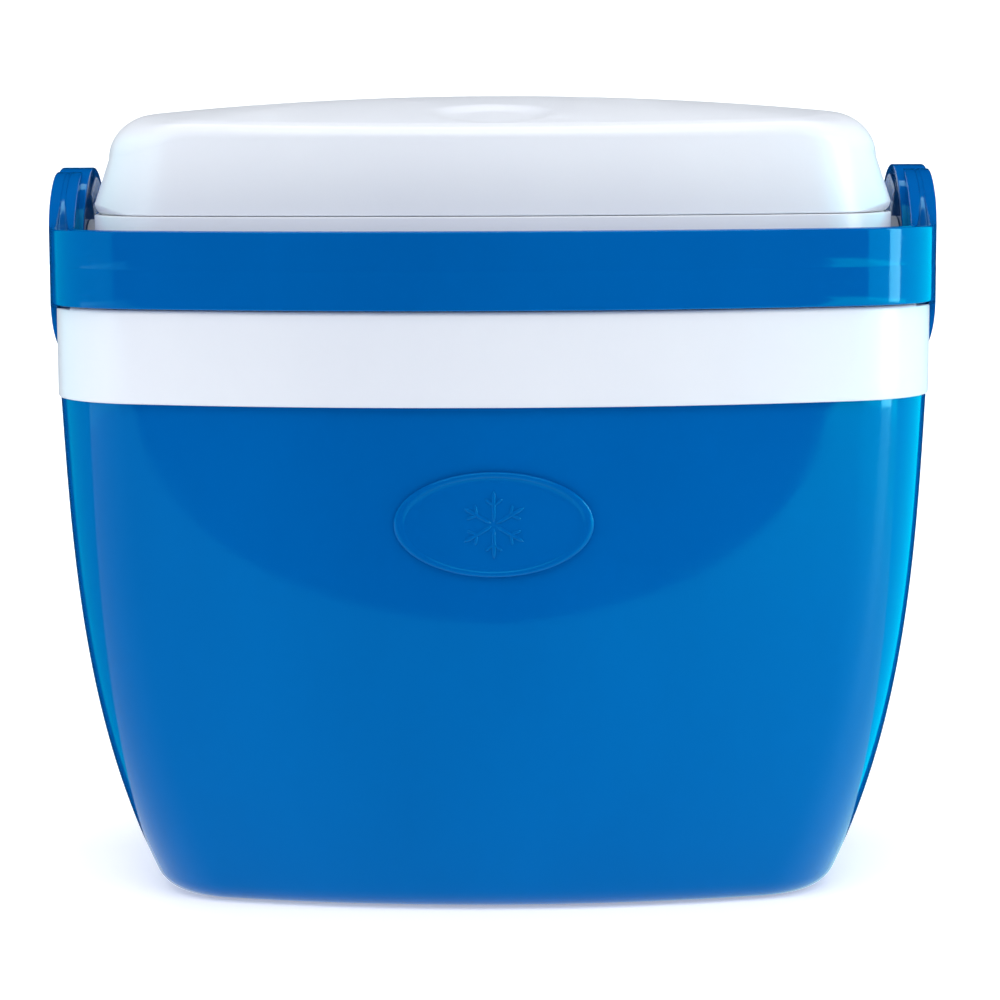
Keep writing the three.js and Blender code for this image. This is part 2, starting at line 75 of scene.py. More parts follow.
COLLAR = (213.2, 157.0, 60.0)
COLLAR_EDGE_R = 2.4
COLLAR_FOOT_R = 1.2
COLLAR_ROOM = 0.4  # extra room at the mouth of the collar's socket
ROOF_Z = BODY_TOP_Z + TUCK + 2.0  # the socket's roof, just over the tub's rim
NECK = (194.6, 135.0, 54.0)
LEDGE_Z = 288.0
NECK_WAIST_Z = LEDGE_Z + 20.0
RIM_Z = 330.0

LINER_TOP = (176.0, 114.0, 36.0)
LINER_FLOOR = (152.0, 97.0, 36.0)
LINER_FLOOR_Z = 26.0
LINER_FILLET = 14.0
LINER_HEM = 0.3
LINER_MOUTH = ((0.0, 3.0), (0.5, 1.2), (2.0, 0.2))  # depth below the rim, and how far out

LID = (194.5, 133.5, 56.0)
LID_Z = 331.0
LID_DROP = 0.75  # the shell's edge hangs this far below LID_Z, which narrows the seam's shadow
LID_SIDE_TOP_Z = 356.5
LID_TAPER = 7.2
LID_EDGE_R = 14.0
LID_TOP_Z = LID_SIDE_TOP_Z + LID_EDGE_R
LID_EDGE_TURN = math.radians(84)
LID_END_REACH = 21.0  # how far in from each end the dome's edge is rounded
LID_BROW_R = 5.5  # the edge's smaller radius along the front and the back
LID_CROWN_Z = 8.1
LID_ARCH_Z = 8.0
LID_INNER_Z = LID_Z + 0.8
DOME_SHARES = (0.985, 0.02)  # the dome's first and last ring, as shares of its edge
LID_LIP_R = 5.0
LIP_TURN = 0.9  # the share of its radius by which the lip turns under
LIP_FLAT = (0.6, 0.8)  # the flat behind the lip, at its upper and its lower edge
LID_SEAM_R = 0.8
LIP_WIDENS_X = (170.0, 20.0)  # the lip widens to its end radius from here, over this length
BROW_WIDENS_X = (140.0, 40.0)  # and the dome's edge does so here
PLUG_Z = 305.0
PLUG_PLAY = 3.0
PANEL_Z = LID_Z + 1.3

HANDLE = (216.0, 159.0, 61.0)
BAND_T = 12.0
BAND_H = 34.0
BAND_SPREAD = 0.9  # the band's edges are drawn this much further out, over the shadow gap
BAND_SKIN = 2.8
BAND_EDGE_R = 0.9
BAND_SOFT = 0.5  # the bevel on the mouth of the band's channel
BAND_SOFT_BULGE = 0.12
PARTING = (0.12, 0.7)  # depth and half width of the parting groove
CHANNEL_DEPTH = 12.5
PIVOT_Z = LEDGE_Z + 1 + BAND_H / 2
HUB_R = 46.0
FLARE_Y = 92.0
FLARE_IN_Y = 12.0
FLARE_H = 44.0
HUB_INNER_X = 203.0
HUB_RIM_X = 200.1  # the hub's rim reaches further in than its middle
HUB_EDGE_X = 216.0  # where the outer face starts to round over
HUB_OUTER_X = 218.2
HUB_PROUD = 1.0  # the band's outer face stands this much further out at the hub
POCKET_PLAY = 1.5
POCKET_X = 198.6
POCKET_END_X = 240.0
POCKET_REACH_Y = FLARE_Y + 14.0
POCKET_HEADROOM = 60.0  # the pocket is open upwards, so its cutter passes the ledge
CAP_R = 17.0
CAP_INNER_X = 214.0
CAP_OUTER_X = 218.5

BADGE_Z = 190.0
BADGE_HALF = (46.0, 24.5)
BADGE_ROOT = 0.6
# The rim and the crowned field, as the share of the plaque's size and how far it stands out.
BADGE_RIM = ((1.0, 0.9), (0.985, 1.5), (0.955, 1.8), (0.92, 1.7), (0.9, 1.2), (0.885, 0.95))
BADGE_FIELD = ((0.8, 1.0), (0.6, 1.15), (0.4, 1.28), (0.2, 1.36))

SNOW_ARM = (1.2, 16.0)  # an arm's start and end, from the middle
SNOW_ARM_SIZE = (1.9, 0.7)  # width and height
SNOW_TWIG_AT = 9.0
SNOW_TWIG_LENGTH = 5.0
SNOW_TWIG_TURN = 0.9
SNOW_TWIG_SIZE = (1.5, 0.6)
SNOW_LIFT = 1.2  # the height of the plaque's face under the bars
SNOW_ROOT = 0.8

# ---- camera -------------------------------------------------------------------------------
CAMERA_DISTANCE = 1.5
CAMERA_PITCH = math.radians(7.0)
CAMERA_ROLL = math.radians(-0.25)
CAMERA_AIM = Vector((0.0029, 0.0, 0.1829))
CAMERA_LENS = 106.1


def add_camera():
    data = bpy.data.cameras.new("camera")
    data.lens = CAMERA_LENS
    data.sensor_width = 36.0
    data.clip_end = 50.0
    camera = bpy.data.objects.new("camera", data)
    back = Vector((0.0, -math.cos(CAMERA_PITCH), math.sin(CAMERA_PITCH)))
    camera.location = CAMERA_AIM + back * CAMERA_DISTANCE
    facing = back.to_track_quat("Z", "Y").to_matrix()
    camera.rotation_euler = facing.to_euler()
    camera.rotation_euler.rotate_axis("Z", CAMERA_ROLL)
    bpy.context.collection.objects.link(camera)
    bpy.context.scene.camera = camera


add_camera()


# ---- materials ----------------------------------------------------------------------------
class Nodes:
    """A short way to write a material's node tree."""

    def __init__(self, name):
        self.material = bpy.data.materials.new(name)
        self.material.use_nodes = True
        self.tree = self.material.node_tree
        self.shader = self.tree.nodes["Principled BSDF"]
        self.place = self.add("ShaderNodeTexCoord").outputs["Object"]

    def add(self, kind, **settings):
        node = self.tree.nodes.new(kind)
        for key, value in settings.items():
            setattr(node, key, value)
        return node

    def link(self, source, target):
        self.tree.links.new(source, target)

    def noise(self, scale, detail=3.0, roughness=0.5, stretch=None):
        node = self.add("ShaderNodeTexNoise")
        node.inputs["Scale"].default_value = scale
        node.inputs["Detail"].default_value = detail
        node.inputs["Roughness"].default_value = roughness
        source = self.place
        if stretch:
            mapping = self.add("ShaderNodeMapping")
            mapping.inputs["Scale"].default_value = stretch
            self.link(self.place, mapping.inputs["Vector"])
            source = mapping.outputs["Vector"]
        self.link(source, node.inputs["Vector"])
        return node.outputs["Fac"]

    def spread(self, value, low, high, to_low, to_high):
        node = self.add("ShaderNodeMapRange")
        for key, number in (
            ("From Min", low),
            ("From Max", high),
            ("To Min", to_low),
            ("To Max", to_high),
        ):
            node.inputs[key].default_value = number
        self.link(value, node.inputs["Value"])
        return node.outputs["Result"]

    def math(self, operation, a, b):
        node = self.add("ShaderNodeMath", operation=operation)
        for socket, value in zip(node.inputs, (a, b)):
            if isinstance(value, (int, float)):
                socket.default_value = value
            else:
                self.link(value, socket)
        return node.outputs["Value"]

    def blend(self, factor, first, second):
        node = self.add("ShaderNodeMix", data_type="RGBA")
        self.link(factor, node.inputs["Factor"])
        for key, value in (("A", first), ("B", second)):
            socket = next(s for s in node.inputs if s.name == key and s.type == "RGBA")
            socket.default_value = (*value, 1.0)
        return next(s for s in node.outputs if s.type == "RGBA")

    def bump(self, height, distance, strength=1.0, normal=None):
        node = self.add("ShaderNodeBump")
        node.inputs["Strength"].default_value = strength
        node.inputs["Distance"].default_value = distance
        self.link(height, node.inputs["Height"])
        if normal:
            self.link(normal, node.inputs["Normal"])
        return node.outputs["Normal"]


def moulded_plastic(
    name, light, dark, rough, ripple, grain, gloss_tint=(1.0, 1.0, 1.0), gloss=0.5
):
    """Injection-moulded plastic: slow colour drift, flow ripple, fine grain and hairline scuffs."""
    n = Nodes(name)
    drift = n.spread(n.noise(7.0, 4.0, 0.55, (1.0, 1.0, 0.45)), 0.35, 0.65, 0.0, 1.0)
    n.link(n.blend(drift, dark, light), n.shader.inputs["Base Color"])
    cloud = n.spread(n.noise(38.0, 5.0, 0.6), 0.3, 0.7, -0.02, 0.03)
    hair = n.noise(900.0, 2.0, 0.4, (0.06, 0.06, 1.0))
    scuff = n.spread(hair, 0.66, 0.74, 0.0, 0.12)
    roughness = n.math("ADD", n.math("ADD", cloud, scuff), rough)
    n.link(roughness, n.shader.inputs["Roughness"])
    slow = n.bump(n.noise(11.0, 1.0, 0.4, (1.0, 1.0, 0.6)), ripple)
    peel = n.bump(n.noise(420.0, 2.0, 0.5), grain, 1.0, slow)
    n.link(n.bump(scuff, 0.00002, 0.6, peel), n.shader.inputs["Normal"])
    n.shader.inputs["IOR"].default_value = 1.5
    n.shader.inputs["Specular Tint"].default_value = (*gloss_tint, 1.0)
    n.shader.inputs["Specular IOR Level"].default_value = gloss
    return n.material


def foam_material():
    """Rigid closed-cell foam: fine cells under a slightly mottled skin."""
    n = Nodes("foam")
    mottle = n.spread(n.noise(30.0, 5.0, 0.6), 0.3, 0.7, 0.0, 1.0)
    n.link(n.blend(mottle, (0.66, 0.56, 0.33), (0.82, 0.74, 0.5)), n.shader.inputs["Base Color"])
    cells = n.add("ShaderNodeTexVoronoi")
    cells.inputs["Scale"].default_value = 700.0
    n.link(n.place, cells.inputs["Vector"])
    n.link(n.bump(cells.outputs["Distance"], 0.0004), n.shader.inputs["Normal"])
    n.shader.inputs["Roughness"].default_value = 0.9
    return n.material


def rubber_material():
    """Soft extruded seal with a dusty bloom."""
    n = Nodes("gasket_rubber")
    bloom = n.spread(n.noise(60.0, 4.0, 0.6), 0.35, 0.7, 0.0, 1.0)
    n.link(n.blend(bloom, (0.10, 0.11, 0.12), (0.17, 0.18, 0.19)), n.shader.inputs["Base Color"])
    n.link(n.spread(bloom, 0.0, 1.0, 0.55, 0.75), n.shader.inputs["Roughness"])
    n.link(n.bump(n.noise(500.0, 2.0, 0.5, (1.0, 1.0, 4.0)), 0.0001), n.shader.inputs["Normal"])
    return n.material


def steel_material():
    """Turned steel: fine rings round the pivot's axis."""
    n = Nodes("steel")
    turned = n.noise(700.0, 2.0, 0.5, (6.0, 0.4, 0.4))
    tone = n.spread(turned, 0.3, 0.7, 0.0, 1.0)
    n.link(n.blend(tone, (0.42, 0.43, 0.45), (0.6, 0.61, 0.63)), n.shader.inputs["Base Color"])
    n.link(n.spread(turned, 0.3, 0.7, 0.22, 0.38), n.shader.inputs["Roughness"])
    n.link(n.bump(turned, 0.00005), n.shader.inputs["Normal"])
    n.shader.inputs["Metallic"].default_value = 1.0
    return n.material


MATERIALS = {
    "blue_plastic": moulded_plastic(
        "blue_plastic",
        light=(0.0, 0.108, 0.395),
        dark=(0.0, 0.097, 0.365),
        rough=0.07,
        ripple=0.0003,
        grain=0.00001,
        gloss_tint=(0.02, 0.8, 1.0),
        gloss=0.45,
    ),
    "pale_plastic": moulded_plastic(
        "pale_plastic",
        light=(0.84, 0.87, 0.92),
        dark=(0.81, 0.84, 0.90),
        rough=0.3,
        ripple=0.0004,
        grain=0.00003,
    ),
    # A darker copy of the lid's pale plastic: painted shade, which offsets the extra light the
    # collar gets from the bright table below.
    "collar_plastic_painted_shade": moulded_plastic(
        "collar_plastic_painted_shade",
        light=(0.77, 0.80, 0.86),
        dark=(0.74, 0.77, 0.84),
        rough=0.3,
        ripple=0.0004,
        grain=0.00003,
    ),
    "liner_plastic": moulded_plastic(
        "liner_plastic",
        light=(0.83, 0.84, 0.84),
        dark=(0.80, 0.81, 0.82),
        rough=0.38,
        ripple=0.0004,
        grain=0.00005,
    ),
    "pin_plastic": moulded_plastic(
        "pin_plastic",
        light=(0.58, 0.60, 0.62),
        dark=(0.54, 0.56, 0.58),
        rough=0.42,
        ripple=0.0002,
        grain=0.00004,
    ),
    "foam": foam_material(),
    "gasket_rubber": rubber_material(),
    "steel": steel_material(),
}


# ---- meshes -------------------------------------------------------------------------------
ARC_STEPS = (40, 30, 36)  # a quarter outline's steps along the front, the corner and the end


def arc(centre, radius, start, end, steps):
    """Points along an arc, without its last one."""
    t = start + (end - start) * np.arange(steps) / steps
    return np.stack([centre[0] + radius * np.cos(t), centre[1] + radius * np.sin(t)], 1)


def quarter_outline(plan, grow=0.0, steps=ARC_STEPS):
    """The front right quarter of a plan outline: bowed front, tangent corner, bowed end."""
    a, b, r = plan[0] + grow, plan[1] + grow, max(plan[2] + grow, 4.0)
    front = np.array([0.0, FRONT_BOW_R - b])
    side = np.array([a - SIDE_BOW_R, 0.0])
    inner_front, inner_side = FRONT_BOW_R - r, SIDE_BOW_R - r
    apart = side - front
    d = np.hypot(*apart)
    along = (d * d + inner_front**2 - inner_side**2) / (2 * d)
    off = math.sqrt(inner_front**2 - along**2)
    corner = front + (apart * along + np.array([-apart[1], apart[0]]) * off) / d
    t0 = math.atan2(*(corner - front)[::-1])
    t1 = math.atan2(*(corner - side)[::-1])
    return np.concatenate(
        [
            arc(front, FRONT_BOW_R, -math.pi / 2, t0, steps[0]),
            arc(corner, r, t0, t1, steps[1]),
            arc(side, SIDE_BOW_R, t1, 0.0, steps[2]),
            [[a, 0.0]],
        ]
    )


def outline(plan, grow=0.0):
    """The whole plan outline, from its front right quarter and its mirror images."""
    quarter = quarter_outline(plan, grow)
    half = np.concatenate([quarter, quarter[:-1][::-1] * (1, -1)])
    return np.concatenate([half, half[1:-1][::-1] * (-1, 1)])


def ring(plan, z, grow=0.0):
    """A plan outline at height z, moved outwards by grow."""
    flat = outline(plan, grow)
    return np.column_stack([flat, np.full(len(flat), z)])


def skin_faces(rings, n, closed):
    """Four-sided faces between rings of n points; closed joins the last ring to the first."""
    spans = rings if closed else rings - 1
    faces = []
    for k in range(spans):
        lo, hi = k * n, ((k + 1) % rings) * n
        faces += [(lo + i, lo + (i + 1) % n, hi + (i + 1) % n, hi + i) for i in range(n)]
    return faces


def mesh_object(name, points, faces, material, body, replaces=()):
    """Makes a mesh piece. One with a body rides that body, and the CAD nodes it replaces are hidden.
    """
    mesh = bpy.data.meshes.new(name)
    placed = (np.asarray(points, float) + (0.0, SHIFT_Y, 0.0)) * MM
    mesh.from_pydata(placed.tolist(), [], faces)
    mesh.validate()
    mesh.shade_smooth()
    mesh.materials.append(MATERIALS[material])
    piece = bpy.data.objects.new(name, mesh)
    bpy.context.collection.objects.link(piece)
    if body:
        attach(piece, body)
        if replaces:
            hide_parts(*replaces)
    return piece


def add_fans(points, faces, n, middles):
    """Closes the first and the last ring of n points by a fan round each one's middle."""
    starts = (0, len(points) - n)
    for start, middle, flip in zip(starts, middles, (True, False)):
        hub = len(points)
        points = np.vstack([points, middle])
        for i in range(n):
            p, q = start + i, start + (i + 1) % n
            faces.append((hub, q, p) if flip else (hub, p, q))
    return points


def loft(rings, closed=False):
    """Points and faces of a skin over rings. An open loft is closed by a fan at each end."""
    n = len(rings[0])
    points = np.concatenate(rings)
    faces = skin_faces(len(rings), n, closed)
    if not closed:
        points = add_fans(points, faces, n, (rings[0].mean(axis=0), rings[-1].mean(axis=0)))
    return points, faces


def turned(profile, side, segments=96):
    """Turns [radius, x] points, which start and end on the axis, about the pivot's axis."""
    profile = np.asarray(profile, float)
    t = 2 * math.pi * np.arange(segments) / segments
    rings = []
    for r, x in profile[1:-1]:
        rings.append(
            np.column_stack([np.full(segments, side * x), r * np.cos(t), PIVOT_Z + r * np.sin(t)])
        )
    faces = skin_faces(len(rings), segments, False)
    middles = [(side * profile[k][1], 0.0, PIVOT_Z) for k in (0, -1)]
    points = add_fans(np.concatenate(rings), faces, segments, middles)
    if side < 0:
        faces = [face[::-1] for face in faces]
    return points, faces


def rounded(corners, radius, steps=5):
    """Rounds the inner corners of an open [radius, x] profile. A corner may carry its own radius."""
    corners = [(c[0], c[1], c[2] if len(c) > 2 else radius) for c in corners]
    done = [corners[0][:2]]
    for before, here, after in zip(corners, corners[1:], corners[2:]):
        p = np.array(here[:2])
        u, v = np.array(before[:2]) - p, np.array(after[:2]) - p
        lu, lv = np.hypot(*u), np.hypot(*v)
        reach = min(here[2], 0.45 * lu, 0.45 * lv)
        start, end = p + u / lu * reach, p + v / lv * reach
        for i in range(steps + 1):
            s = i / steps
            done.append(tuple((1 - s) ** 2 * start + 2 * s * (1 - s) * p + s * s * end))
    return done + [corners[-1][:2]]


def smooth_step(t):
    t = np.clip(t, 0.0, 1.0)
    return t * t * (3 - 2 * t)


# ---- tub ----------------------------------------------------------------------------------
BODY_DRAFT = (12.0, 10.0)  # the straight part of the taper, in x and y
BODY_CURVE = (34.0, 26.0)  # the part that grows as the cube of the depth
CORNER_DRAFT = 10.0
WALL_LEAN = math.radians(22.0)  # the wall's lean where the bottom fillet starts


def body_plan(z):
    """The tub's plan at height z."""
    t = (BODY_TOP_Z - z) / BODY_TOP_Z
    cube = max(t, 0.0) ** 3
    return (
        BODY_TOP[0] - BODY_DRAFT[0] * t - BODY_CURVE[0] * cube,
        BODY_TOP[1] - BODY_DRAFT[1] * t - BODY_CURVE[1] * cube,
        BODY_TOP[2] - CORNER_DRAFT * t,
    )


def fillet_rings(grow, steps=10):
    """Rings round the bottom fillet, and the height where the wall takes over."""
    lowest = BASE_FILLET * (1 - math.sin(WALL_LEAN))
    rings = []
    for t in np.linspace(math.pi / 2, WALL_LEAN, steps):
        inset = BASE_FILLET * (math.cos(WALL_LEAN) - math.cos(t))
        rings.append(
            ring(body_plan(lowest), BASE_FILLET * (1 - math.sin(t)) - grow, grow - inset)
        )
    return rings, lowest


def tub():
    outside, lowest = fillet_rings(0.0)
    base = body_plan(lowest)
    under = [ring(base, z, -FOOT_INSET - inset) for z, inset in UNDERSIDE]
    levels = np.linspace(lowest, BODY_TOP_Z, 44)[1:]
    outside += [ring(body_plan(z), z) for z in levels]
    top = body_plan(BODY_TOP_Z)
    rim_z = BODY_TOP_Z + TUCK
    lip = [ring(top, rim_z - BEVEL), ring(top, rim_z, -BEVEL), ring(top, rim_z, BEVEL - WALL)]
    inside = [ring(top, BODY_TOP_Z, -WALL)]
    inside += [ring(body_plan(z), z, -WALL) for z in levels[::-6]]
    floor = fillet_rings(-WALL, 5)[0][::-1]
    points, faces = loft(under + outside + lip + inside + floor)
    mesh_object("tub", points, faces, "blue_plastic", "chest", replaces=["outer_shell"])


tub()


# ---- hub and pocket shapes seen from the side ---------------------------------------------
def arm_half_height(y):
    """Half height of the handle's arm, level along the band and swelling into the hub."""
    t = (FLARE_Y - np.abs(y)) / (FLARE_Y - FLARE_IN_Y)
    level = BAND_H / 2 + BAND_SPREAD
    return level + (FLARE_H - level) * smooth_step(t)


def cutter(play, side):
    """The room for a hub with an arm to the front or the back, as a solid to subtract."""
    y = np.linspace(-POCKET_REACH_Y, POCKET_REACH_Y, 221)
    dome = np.sqrt(np.clip((HUB_R + play) ** 2 - y**2, 0, None))
    half = np.maximum(arm_half_height(y) + play, dome)
    top = PIVOT_Z + POCKET_HEADROOM
    loop = np.vstack([np.column_stack([y, PIVOT_Z - half]), (y[-1], top), (y[0], top)])
    n = len(loop)
    points = np.vstack([np.insert(loop, 0, side * x, axis=1) for x in (POCKET_X, POCKET_END_X)])
    faces = skin_faces(2, n, False) + [tuple(range(n))[::-1], tuple(range(n, 2 * n))]
    if side < 0:
        faces = [face[::-1] for face in faces]
    return mesh_object("cutter", points, faces, "pale_plastic", None)


def subtract(piece, tool):
    modifier = piece.modifiers.new("cut", "BOOLEAN")
    modifier.operation = "DIFFERENCE"
    modifier.solver = "EXACT"
    modifier.object = tool
    depsgraph = bpy.context.evaluated_depsgraph_get()
    cut = bpy.data.meshes.new_from_object(piece.evaluated_get(depsgraph))
    piece.modifiers.clear()
    piece.data = cut
    bpy.data.objects.remove(tool)


# ---- collar -------------------------------------------------------------------------------
def collar_band_rings():
    """The broad band: its rounded foot, its face and its edge up to the ledge."""
    foot, edge = COLLAR_FOOT_R, COLLAR_EDGE_R
    rings = []
    for t in np.linspace(0, math.pi / 2, 5):
        rings.append(ring(COLLAR, BODY_TOP_Z + foot * (1 - math.cos(t)), -foot * (1 - math.sin(t))))
    rings += [ring(COLLAR, z) for z in np.linspace(BODY_TOP_Z + foot, LEDGE_Z - edge, 8)[1:]]
    for t in np.linspace(0, math.pi / 2, 6)[1:]:
        rings.append(ring(COLLAR, LEDGE_Z - edge * (1 - math.sin(t)), -edge * (1 - math.cos(t))))
    return rings


def neck_rings():
    """The neck, from its cove on the ledge to its rounded rim."""
    cove = COLLAR_EDGE_R
    rings = []
    for t in np.linspace(0, math.pi / 2, 6):
        rings.append(ring(NECK, LEDGE_Z + cove * (1 - math.cos(t)), cove * (1 - math.sin(t))))
    return rings + [
        ring(NECK, NECK_WAIST_Z),
        ring(NECK, RIM_Z - BEVEL),
        ring(NECK, RIM_Z - BEVEL_BULGE, -BEVEL_BULGE),
        ring(NECK, RIM_Z, -BEVEL),
    ]


def collar():
    socket = body_plan(BODY_TOP_Z)
    rings = [ring(socket, BODY_TOP_Z, GAP + COLLAR_ROOM)]
    rings += collar_band_rings() + neck_rings()
    rings += [ring(NECK, RIM_Z, -WALL), ring(NECK, ROOF_Z, -WALL), ring(socket, ROOF_Z, GAP)]
    points, faces = loft(rings, closed=True)
    # the collar wears the darker copy of the pale plastic, painted shade
    piece = mesh_object("collar_ring", points, faces, "collar_plastic_painted_shade", None)
    for side in (1, -1):
        subtract(piece, cutter(POCKET_PLAY, side))
    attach(piece, "chest")
    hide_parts("collar")
    return piece


collar()


# ---- liner --------------------------------------------------------------------------------
def liner_plan(z):
    t = (RIM_Z - z) / (RIM_Z - LINER_FLOOR_Z)
    return tuple(top + (low - top) * t for top, low in zip(LINER_TOP, LINER_FLOOR))


def liner_rings(grow, top):
    """The liner's wall from the top down, then its bottom fillet."""
    base = liner_plan(LINER_FLOOR_Z + LINER_FILLET)
    wall_foot = LINER_FLOOR_Z + LINER_FILLET + 1.0
    rings = [ring(liner_plan(z), z, grow) for z in np.linspace(top, wall_foot, 8)]
    for t in np.linspace(0, math.pi / 2, 8):
        z = LINER_FLOOR_Z + LINER_FILLET * (1 - math.sin(t))
        rings.append(ring(base, z - grow, grow - LINER_FILLET * (1 - math.cos(t))))
    return rings


def liner():
    under = RIM_Z - WALL
    rings = liner_rings(WALL, under)[::-1]
    rings += [
        ring(NECK, under, -WALL - GAP),
        ring(NECK, RIM_Z - LINER_HEM, -WALL - GAP),
        ring(NECK, RIM_Z, -WALL - GAP - LINER_HEM),
    ]
    rings += [ring(LINER_TOP, RIM_Z - depth, out) for depth, out in LINER_MOUTH]
    rings += liner_rings(0.0, RIM_Z - 4.0)
    points, faces = loft(rings)
    mesh_object("liner", points, faces, "liner_plastic", "chest", replaces=["inner_liner"])


liner()


# ---- lid ----------------------------------------------------------------------------------
DISH_CENTRE = (0.0, -93.0)
DISH_HALF = (26.0, 21.0)
DISH_DEPTH = 2.2
DISH_START = 1.15  # the dish's wall starts this many half sizes from its centre,
DISH_SLOPE = 0.5  # and is this many half sizes wide


def dish(points):
    """Presses a shallow finger dish into the front of the lid's dome."""
    away = np.hypot(
        (points[:, 0] - DISH_CENTRE[0]) / DISH_HALF[0],
        (points[:, 1] - DISH_CENTRE[1]) / DISH_HALF[1],
    )
    sunk = points.copy()
    sunk[:, 2] -= DISH_DEPTH * smooth_step((DISH_START - away) / DISH_SLOPE)
    return sunk


def widening(flat, where):
    """0 along the lid's front and 1 at its ends, for each point of a ring."""
    return smooth_step((np.abs(flat[:, :1]) - where[0]) / where[1])


def arch(y):
    """How much the lid's middle line stands above its front and back."""
    return LID_ARCH_Z * (1 - (y / LID[1]) ** 2)


def lip_rings(bottom):
    """The shell's rounded lower edge, tight along the seam and wide at the ends."""
    tight, wide = ring(LID, bottom), ring(LID, bottom, -LID_LIP_R)
    radius = LID_SEAM_R + (LID_LIP_R - LID_SEAM_R) * widening(tight, LIP_WIDENS_X)
    rings = []
    for t in np.linspace(0, math.pi / 2, 9):
        share = radius / LID_LIP_R * (1 - math.sin(t)) * LIP_TURN
        rings.append(tight + (wide - tight) * share)
        rings[-1][:, 2:] += radius * (1 - math.cos(t))
    return rings


def brow_rings(grow):
    """The dome's rounded edge, from the top of the side to the start of the dome."""
    tight = ring(LID, 0.0, grow - LID_TAPER)
    wide = ring(LID, 0.0, grow - LID_TAPER - LID_END_REACH)
    across = widening(tight, BROW_WIDENS_X)
    radius = LID_BROW_R + (LID_EDGE_R - LID_BROW_R) * across
    reach = LID_BROW_R + (LID_END_REACH - LID_BROW_R) * across
    raised = grow + arch(tight[:, 1:2])
    rings = []
    for t in np.linspace(0, LID_EDGE_TURN, 16):
        share = reach / LID_END_REACH * (1 - math.cos(t))
        rings.append(tight + (wide - tight) * share)
        rings[-1][:, 2:] += LID_TOP_Z - radius * (1 - math.sin(t)) + raised * math.sin(t)
    return rings


def dome_rings(edge, grow, steps):
    """The crowned top, as rings that shrink from the edge to the middle."""
    rings = []
    for s in np.linspace(*DOME_SHARES, steps):
        flat = edge[:, :2] * s
        z = LID_TOP_Z + grow + arch(flat[:, 1]) + LID_CROWN_Z * (1 - s * s)
        rings.append(np.column_stack([flat, z]))
    return rings


def lid_skin(lowest, grow, dome_steps):
    """One skin of the lid, from its lowest rings to the middle of the top."""
    brow = brow_rings(grow)
    return lowest + brow + dome_rings(brow[-1], grow, dome_steps)


def lid():
    taper = LID_TAPER * (LID_INNER_Z - LID_Z) / (LID_SIDE_TOP_Z - LID_Z)
    inside = lid_skin([ring(LID, LID_INNER_Z, -WALL - taper)], -WALL, 10)[::-1]
    edge_z = LID_Z - LID_DROP
    foot = [ring(LID, z, flat - LID_LIP_R) for z, flat in zip((LID_Z, edge_z), LIP_FLAT)]
    points, faces = loft(inside + foot + lid_skin(lip_rings(edge_z), 0.0, 64))
    mesh_object("lid", dish(points), faces, "pale_plastic", "lid", replaces=["lid_shell"])


lid()


# ---- lid underside and seal ---------------------------------------------------------------
PLUG = (LINER_TOP[0] - PLUG_PLAY, LINER_TOP[1] - PLUG_PLAY, LINER_TOP[2])
PLUG_FILLET = 6.0
PLUG_TAPER = 3.0
SEAL_WIDTH = 5.0


def plug_rings(grow, top):
    """The pan that drops into the liner's mouth, from its bottom fillet up to the top."""
    rings = []
    for t in np.linspace(math.pi / 2, 0, 7):
        inset = PLUG_TAPER + PLUG_FILLET * (1 - math.cos(t))
        rings.append(ring(PLUG, PLUG_Z + PLUG_FILLET * (1 - math.sin(t)) - grow, grow - inset))
    return rings + [ring(PLUG, top, grow)]


def lid_underside():
    flange = -WALL - GAP - LID_LIP_R
    rings = plug_rings(0.0, PANEL_Z)
    rings += [ring(LID, PANEL_Z, flange - BEVEL), ring(LID, PANEL_Z + BEVEL, flange)]
    rings += [ring(LID, PANEL_Z + WALL, flange)]
    rings += plug_rings(-WALL, PANEL_Z + WALL)[::-1]
    points, faces = loft(rings)
    mesh_object("lid_pan", points, faces, "liner_plastic", "lid", replaces=["lid_panel"])


lid_underside()


def seal():
    inner = PLUG_PLAY + 2 * WALL
    outer = inner + SEAL_WIDTH
    low, high = RIM_Z + GAP, PANEL_Z - GAP
    middle = (low + high) / 2
    rings = [
        ring(PLUG, low, inner + BEVEL),
        ring(PLUG, low, outer - BEVEL),
        ring(PLUG, middle, outer),
        ring(PLUG, high, outer - BEVEL),
        ring(PLUG, high, inner + BEVEL),
        ring(PLUG, middle, inner),
    ]
    points, faces = loft(rings, closed=True)
    mesh_object("seal_ring", points, faces, "gasket_rubber", "lid", replaces=["lid_gasket"])


seal()


# ---- handle -------------------------------------------------------------------------------
BAND_STEPS = (30, 30, 40)
BAND_SIDE_X = 150.0  # beyond this the band is on an end of the chest
BAND_END_Y = 14.0  # the band stops inside the hub, this far from the pivot's axis
CHANNEL_LEAST = 0.15  # the channel's depth where it has run out at the hub
CHANNEL_GAP = 0.53  # half the width that the pinched channel keeps


